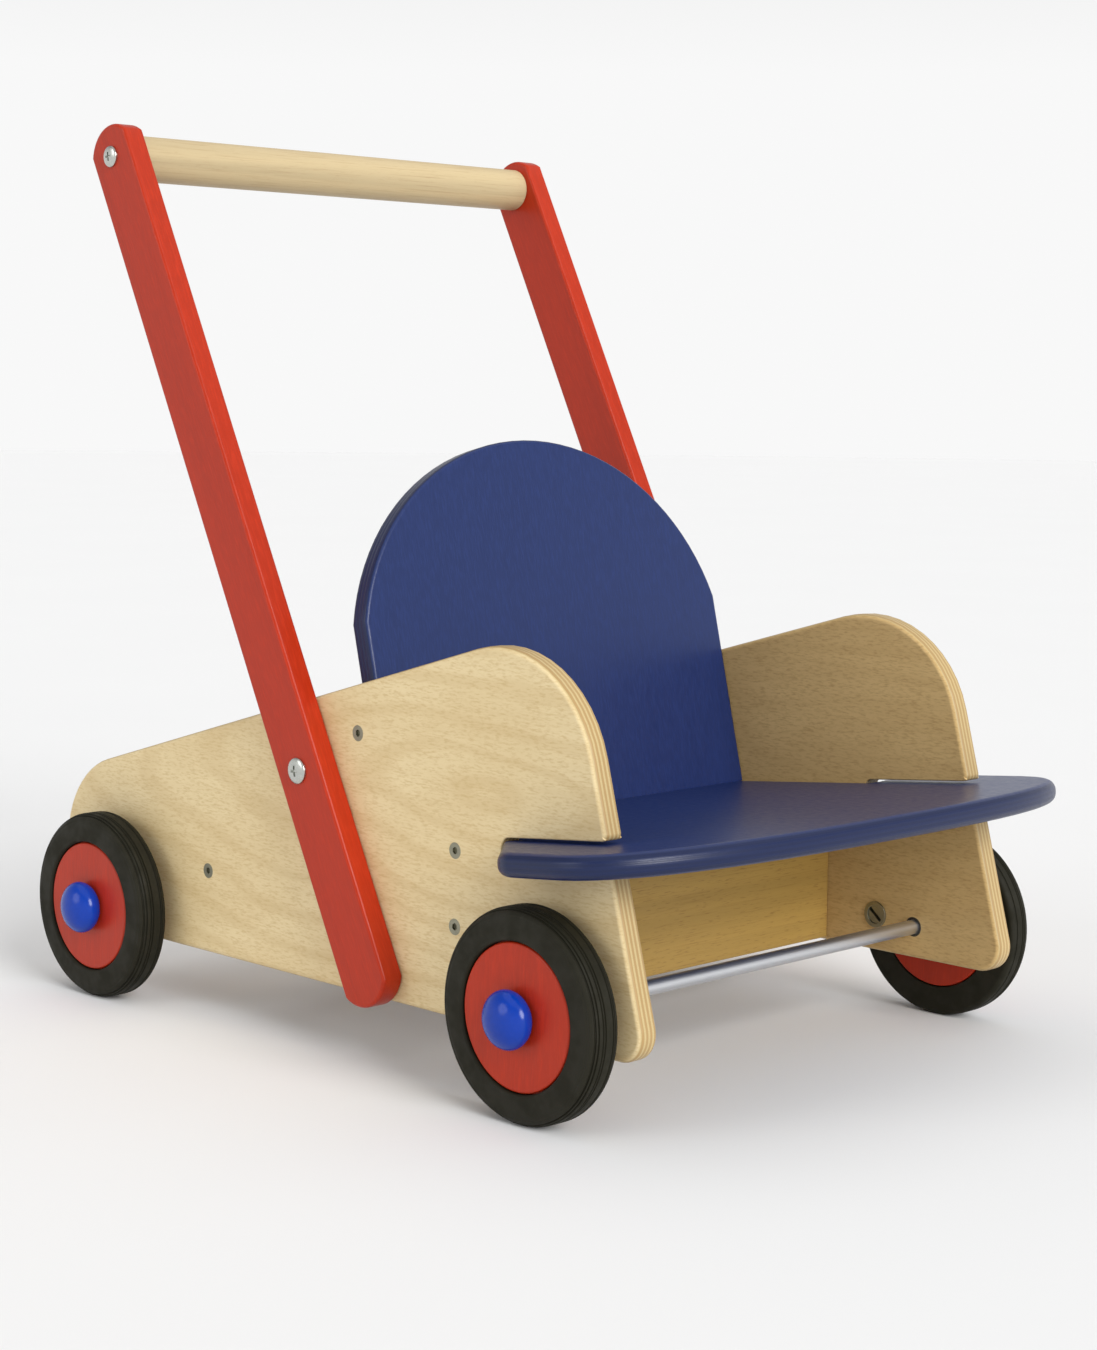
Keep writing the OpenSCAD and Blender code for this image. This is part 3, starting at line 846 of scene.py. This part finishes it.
def birch_ply(name, plate):
    """Rotary-cut birch faces with soft contours, the inner face darker and more orange as painted shade,
    and pale and brown veneers on the edges.
    """
    paint = Paint(name)
    fine = paint.noise(paint.grain_place(X, 240, 1100), 1, detail=3)
    streak = paint.noise(paint.grain_place(X, 7, 150), 1, detail=2)
    cloud = paint.noise(paint.grain_place(X, 9, 20), 1, detail=3, distortion=0.4)
    shaded_back = paint.range(veneer_depth(paint, plate), PLY * 0.4, PLY * 0.6)
    contour = paint.sum("MULTIPLY", birch_figure(paint), paint.range(shaded_back, 0, 1, 0.24, 0.08))
    # Painted shade: the face colour and its grain turn darker and more orange towards the inner face
    face = paint.mix(shaded_back, BIRCH, BIRCH_SHADED_BACK)
    grain = paint.mix(shaded_back, BIRCH_DARK, BIRCH_SHADED_BACK_GRAIN)
    face = paint.mix(paint.range(cloud, 0.35, 0.7, 0.22, 0), face, grain)
    face = paint.mix(paint.range(streak, 0.4, 0.75, 0, 0.12), face, grain)
    face = paint.mix(contour, face, grain)
    face = paint.mix(paint.range(fine, 0.42, 0.74, 0, 0.55), face, grain)
    wave, edge = veneer_wave(paint, plate)
    pores = paint.noise(paint.place, 2600, detail=2)
    pale = paint.mix(paint.range(pores, 0.3, 0.8), VENEER_PALE, shade(VENEER_PALE, 0.84))
    layers = paint.mix(paint.range(wave, -0.35, 0.35), VENEER_BROWN, pale)
    glue = paint.range(paint.sum("ABSOLUTE", wave), 0.0, 0.28, 0.4, 0)
    layers = paint.mix(glue, layers, VENEER_GLUE)
    paint.bump(paint.sum("ADD", fine, paint.sum("MULTIPLY", streak, 0.5)), 0.05 * MM, 0.6)
    rough = paint.range(fine, 0.3, 0.8, 0.4, 0.52)
    return paint.finish(
        Base_Color=paint.mix(edge, face, layers), Roughness=rough, Specular_IOR_Level=0.35
    )


def lacquered_ply(name, plate, colour, along):
    """Coloured satin lacquer through which the grain and the edge veneers just show, with painted shade
    darkening the board's edges.
    """
    paint = Paint(name)
    fine = paint.noise(paint.grain_place(along, 160, 1300), 1, detail=3)
    streak = paint.noise(paint.grain_place(along, 6, 110), 1, detail=2)
    base = paint.mix(paint.range(streak, 0.3, 0.7), colour, shade(colour, 0.95))
    base = paint.mix(paint.range(fine, 0.4, 0.75, 0, 0.7), base, shade(colour, 1.35))
    wave, edge = veneer_wave(paint, plate)
    dark_line = paint.sum("MULTIPLY", edge, paint.range(wave, -0.8, 0.4, 0.4, 0))
    # Painted shade: the board's edge band is darkened towards half the lacquer's colour
    base = paint.mix(paint.sum("MULTIPLY", edge, 0.8), base, shade(colour, 0.5))
    base = paint.mix(dark_line, base, shade(colour, 0.4))
    relief = paint.sum("MULTIPLY", edge, paint.range(wave, -0.6, 0.6))
    paint.bump(paint.sum("ADD", relief, paint.sum("MULTIPLY", fine, 0.8)), 0.08 * MM, 0.8)
    rough = paint.range(fine, 0.3, 0.8, 0.3, 0.44)
    return paint.finish(Base_Color=base, Roughness=rough, Specular_IOR_Level=0.36)


def lacquered_wood(name, colour, along):
    """Red satin lacquer on solid wood, with the grain running along the piece."""
    paint = Paint(name)
    fine = paint.noise(paint.grain_place(along, 110, 1100), 1, detail=3)
    streak = paint.noise(paint.grain_place(along, 5, 140), 1, detail=2)
    base = paint.mix(paint.range(streak, 0.3, 0.75), colour, shade(colour, 0.9))
    base = paint.mix(paint.range(fine, 0.42, 0.75, 0, 0.6), base, shade(colour, 1.25))
    paint.bump(paint.sum("ADD", fine, streak), 0.06 * MM, 0.7)
    rough = paint.range(fine, 0.3, 0.8, 0.28, 0.4)
    return paint.finish(Base_Color=base, Roughness=rough, Specular_IOR_Level=0.28)


def beech(name, colour, flecks):
    """Pale beech with growth bands and short dark flecks along its length."""
    paint = Paint(name)
    band = paint.noise(paint.grain_place(Y, 1.5, 70), 1, detail=2, distortion=0.3)
    fine = paint.noise(paint.grain_place(Y, 25, 1300), 1, detail=2)
    fleck = paint.noise(paint.grain_place(Y, 160, 1500), 1, detail=1, rough=0.4)
    base = paint.mix(paint.range(band, 0.3, 0.7), colour, shade(colour, 0.8))
    base = paint.mix(paint.range(fine, 0.5, 0.85, 0, 0.4), base, BEECH_FLECK)
    base = paint.mix(paint.range(fleck, 0.6, 0.74, 0, flecks), base, BEECH_FLECK)
    paint.bump(paint.sum("SUBTRACT", fine, fleck), 0.05 * MM, 0.6)
    rough = paint.range(fine, 0.3, 0.8, 0.42, 0.56)
    return paint.finish(Base_Color=base, Roughness=rough, Specular_IOR_Level=0.35)


def plain(name, colour, rough, metal=0.0, scale=900, depth=0.02 * MM, spread=0.12, **more):
    """A moulded or plated surface with slight mottling, and roughness that varies round its mean."""
    paint = Paint(name)
    speck = paint.noise(paint.place, scale, detail=3)
    cloud = paint.noise(paint.place, scale / 20, detail=2)
    base = paint.mix(paint.range(speck, 0.3, 0.75), shade(colour, 1 - spread), shade(colour, 1 + spread))
    base = paint.mix(paint.range(cloud, 0.35, 0.7, 0, 0.5), base, shade(colour, 1 - 1.5 * spread))
    paint.bump(speck, depth, 0.7)
    shiny = paint.range(cloud, 0.3, 0.7, rough * 0.85, rough * 1.15)
    return paint.finish(Base_Color=base, Roughness=shiny, Metallic=metal, **more)


def drawn(name):
    """Bright drawn bar with fine lines along its length."""
    paint = Paint(name)
    line = paint.noise(paint.grain_place(Y, 12, 3200), 1, detail=2)
    base = paint.mix(paint.range(line, 0.3, 0.7), shade(STEEL, 0.95), STEEL)
    paint.bump(line, 0.002 * MM, 0.2)
    return paint.finish(
        Base_Color=base, Roughness=paint.range(line, 0.3, 0.7, 0.36, 0.42), Metallic=1.0
    )


zinc = plain("zinc_plate", ZINC, 0.26, metal=1.0, scale=2500)
# The rougher zinc has its colour darkened as painted shade
shaded_screw_zinc = plain("dull_zinc_painted_shade", DULL_ZINC_PAINTED_SHADE, 0.4, metal=1.0, scale=2500)
nylon = plain("dark_nylon", NYLON, 0.5)
felt = plain("grey_felt", FELT, 0.95, scale=3000, depth=0.3 * MM, spread=0.3)
rubber = plain(
    "tyre_rubber", RUBBER, 0.7, scale=1800, depth=0.04 * MM, spread=0.14, Specular_IOR_Level=0.25
)
cap_plastic = plain(
    "blue_plastic", CAP_BLUE, 0.17, scale=500, depth=0.01 * MM, spread=0.05, Specular_IOR_Level=0.3
)
red_disc = lacquered_wood("red_disc", RED, Z)
drawn_steel = drawn("drawn_steel")
hidden_beech = beech("beech_dowel", BAR_BEECH, 0.2)


# ---- Frame ----


def stand_for(piece, node, material):
    """Shows the piece in place of its CAD node, on the same body."""
    piece.data.materials.append(material)
    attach(piece, NODES[node]["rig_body"])
    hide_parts(node)


def repaint(node, material):
    """Gives a carried-over CAD node its material."""
    mesh = NODES[node].data
    mesh.materials.clear()
    mesh.materials.append(material)


def build_walker():
    seat = Plate("seat_board", Z)
    seat_board(seat)
    backrest(seat)
    for side in OUTWARD:
        side_panel(side, seat)
        handle_arm(side)
        for end in ["front", "rear"]:
            tyre(f"{end}_{side}")
            wheel_disc(f"{end}_{side}")
            hub_cap(f"{end}_{side}")
    handle_bar()
    for end in ["front", "rear"]:
        cross_board(end)
        axle(end)
    fasteners()
    brakes()
    for node in ["cross_board_dowels", "arm_dowels"]:
        repaint(node, hidden_beech)


# ---- Stage ----

def floor():
    bm = bmesh.new()
    bmesh.ops.create_circle(bm, cap_ends=True, segments=96, radius=FLOOR_RADIUS)
    mesh = bpy.data.meshes.new("floor")
    bm.to_mesh(mesh)
    bm.free()
    made = bpy.data.objects.new("floor", mesh)
    bpy.context.scene.collection.objects.link(made)
    paint = Paint("floor_paper")
    paper = paint.noise(paint.place, 3, detail=2)
    base = paint.mix(paint.range(paper, 0.3, 0.7), FLOOR_SHADE, FLOOR_PALE)
    mesh.materials.append(paint.finish(Base_Color=base, Roughness=0.9))


def white_room():
    """A white room whose walls are bright near the floor and dimmer overhead."""
    world = bpy.data.worlds.new("white_room")
    world.use_nodes = True
    nodes = world.node_tree.nodes
    links = world.node_tree.links
    place = nodes.new("ShaderNodeTexCoord")
    parts = nodes.new("ShaderNodeSeparateXYZ")
    fade = nodes.new("ShaderNodeMapRange")
    fade.inputs["From Min"].default_value = FADE_FROM
    fade.inputs["From Max"].default_value = FADE_TO
    fade.inputs["To Min"].default_value = ROOM_LOW
    fade.inputs["To Max"].default_value = ROOM_HIGH
    links.new(place.outputs["Generated"], parts.inputs[0])
    links.new(parts.outputs["Z"], fade.inputs["Value"])
    links.new(fade.outputs[0], nodes["Background"].inputs["Strength"])
    nodes["Background"].inputs["Color"].default_value = (1, 1, 1, 1)
    bpy.context.scene.world = world


def sky_lamp(name, toward, strength, spread):
    """Soft light from one side, the same over the whole floor."""
    data = bpy.data.lights.new(name, "SUN")
    data.energy = strength * math.pi
    data.angle = math.radians(spread)
    lamp = bpy.data.objects.new(name, data)
    lamp.rotation_euler = (-Vector(toward)).to_track_quat("-Z", "Y").to_euler()
    bpy.context.scene.collection.objects.link(lamp)


def camera():
    """The camera that took in the walker from its front right corner, a little above seat height."""
    at = CAMERA_AT
    yaw, pitch, roll = (math.radians(angle) for angle in CAMERA_TURN)
    ahead = Vector((math.sin(yaw) * math.cos(pitch), math.cos(yaw) * math.cos(pitch), math.sin(pitch)))
    right = Vector((math.cos(yaw), -math.sin(yaw), 0))
    up = right.cross(ahead)
    level_right = right * math.cos(roll) + up * math.sin(roll)
    level_up = up * math.cos(roll) - right * math.sin(roll)
    data = bpy.data.cameras.new("camera")
    data.lens = CAMERA_LENS
    data.sensor_width = CAMERA_SENSOR
    made = bpy.data.objects.new("camera", data)
    made.matrix_world = Matrix((
        (level_right.x, level_up.x, -ahead.x, at.x),
        (level_right.y, level_up.y, -ahead.y, at.y),
        (level_right.z, level_up.z, -ahead.z, at.z),
        (0, 0, 0, 1),
    ))
    bpy.context.scene.collection.objects.link(made)
    bpy.context.scene.camera = made


def lights():
    white_room()
    sky_lamp("left_window", (-0.7, -2.0, 0.9), 0.15, WINDOW_SPREAD)
    sky_lamp("front_window", (2.2, -0.35, 1.1), 0.82, WINDOW_SPREAD)
    sky_lamp("ceiling", (0.1, 0.1, 1), 0.26, CEILING_SPREAD)


build_walker()
floor()
lights()
camera()
bpy.context.scene.view_settings.view_transform = "Standard"
